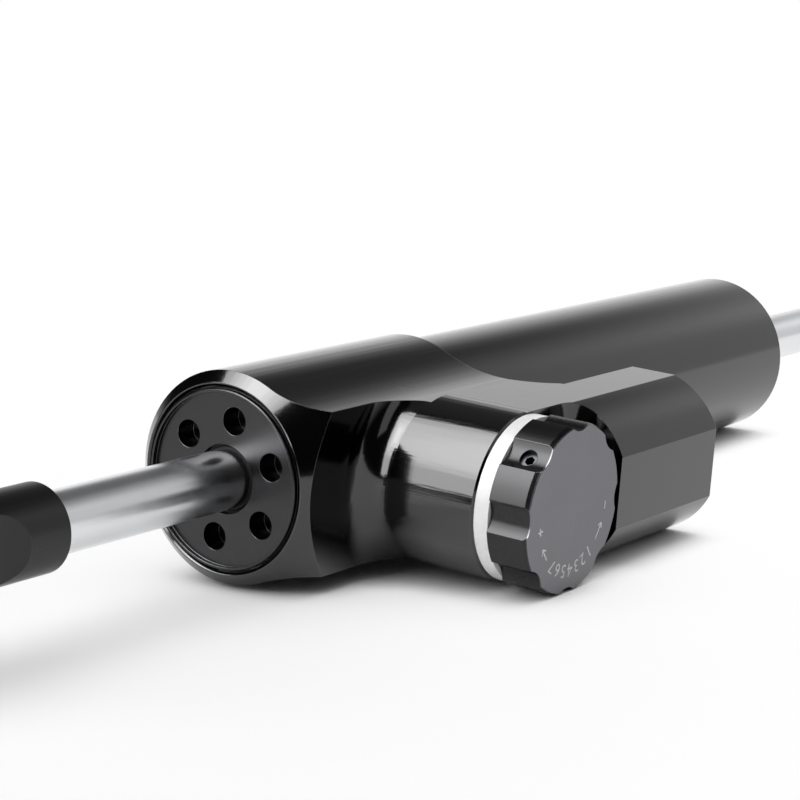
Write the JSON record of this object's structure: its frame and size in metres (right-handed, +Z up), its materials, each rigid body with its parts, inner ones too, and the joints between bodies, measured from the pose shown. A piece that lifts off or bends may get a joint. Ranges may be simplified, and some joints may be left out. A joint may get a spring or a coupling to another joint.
{
  "type": "steering_damper",
  "caption": "Linear steering damper with a through rod, a ball-jointed rod end, a side gas reservoir and a click-stop damping knob, in anodised aluminium and polished steel",
  "frame": {"origin": "On the rod's axis, at the middle of the bare barrel tube, where the damper's frame clamp grips it.", "axes": "+X along the rod from the rod end's eye towards the bare tail; +Z up; the adjuster knob and the reservoir are on the -Y side."},
  "size_m": [0.3473, 0.0671, 0.0358],
  "materials": {
    "anodised_block": "machined, black hard anodised, satin to bright",
    "anodised_tube": "drawn tube, black anodised, bright",
    "anodised_cap": "turned, black anodised",
    "anodised_knob": "turned and milled, black anodised",
    "plain_aluminium": "turned, bare",
    "rod_end_aluminium": "turned and milled, dark anodised",
    "polished_rod": "hard-chromed, ground and polished",
    "liner_steel": "honed or turned steel",
    "black_oxide_steel": "black oxide",
    "bush_bronze": "sintered bronze",
    "seal_rubber": "moulded nitrile, matte",
    "ring_plastic": "bronze-filled fluoropolymer",
    "white_plastic": "turned acetal, white"
  },
  "bodies": {
    "damper_body": {"valve_block": "anodised_block", "outer_tube": "anodised_tube", "tube_seal": "seal_rubber", "inner_liner": "liner_steel", "front_gland_cap": "anodised_cap", "rear_gland_cap": "anodised_cap", "front_wiper": "seal_rubber", "rear_wiper": "seal_rubber", "front_rod_guide": "plain_aluminium", "rear_rod_guide": "plain_aluminium", "front_guide_bush": "bush_bronze", "rear_guide_bush": "bush_bronze", "front_rod_seal": "seal_rubber", "rear_rod_seal": "seal_rubber", "front_guide_o_ring": "seal_rubber", "rear_guide_o_ring": "seal_rubber", "valve_seat": "liner_steel", "adjuster_gland_nut": "plain_aluminium", "index_ring": "white_plastic", "detent_ball": "polished_rod", "detent_spring": "liner_steel", "reservoir_plug": "anodised_cap", "plug_o_ring": "seal_rubber", "fill_screw": "black_oxide_steel"},
    "adjuster": {"adjuster_knob": "anodised_knob", "knob_set_screw": "black_oxide_steel", "metering_spindle": "liner_steel", "spindle_o_ring": "seal_rubber"},
    "separator": {"separator_piston": "plain_aluminium", "separator_o_ring": "seal_rubber"},
    "ring": {"piston_ring": "ring_plastic"},
    "rod": {"damper_rod": "polished_rod", "piston": "plain_aluminium", "retaining_rings": "black_oxide_steel", "rod_end": "rod_end_aluminium", "bearing_race": "liner_steel"},
    "ball": {"spherical_ball": "polished_rod"}
  },
  "joints": [
    {"name": "rod_slide", "type": "slide", "parent": "damper_body", "child": "ring", "axis": [1, 0, 0], "range_m": [-0.079, 0.041]},
    {"name": "rod_turn", "type": "hinge", "parent": "ring", "child": "rod", "pos_m": [-0.0073, 0, 0], "axis": [1, 0, 0], "continuous": true},
    {"name": "ball_tilt", "type": "hinge", "parent": "rod", "child": "ball", "pos_m": [-0.18485, 0, 0], "axis": [0, 0, 1], "range_deg": [-12, 12]},
    {"name": "knob_turn", "type": "hinge", "parent": "damper_body", "child": "adjuster", "pos_m": [-0.083, -0.045, 0], "axis": [0, -1, 0], "range_deg": [-150, 150]},
    {"name": "separator_slide", "type": "slide", "parent": "damper_body", "child": "separator", "axis": [1, 0, 0], "range_m": [-0.004, 0.005]}
  ]
}
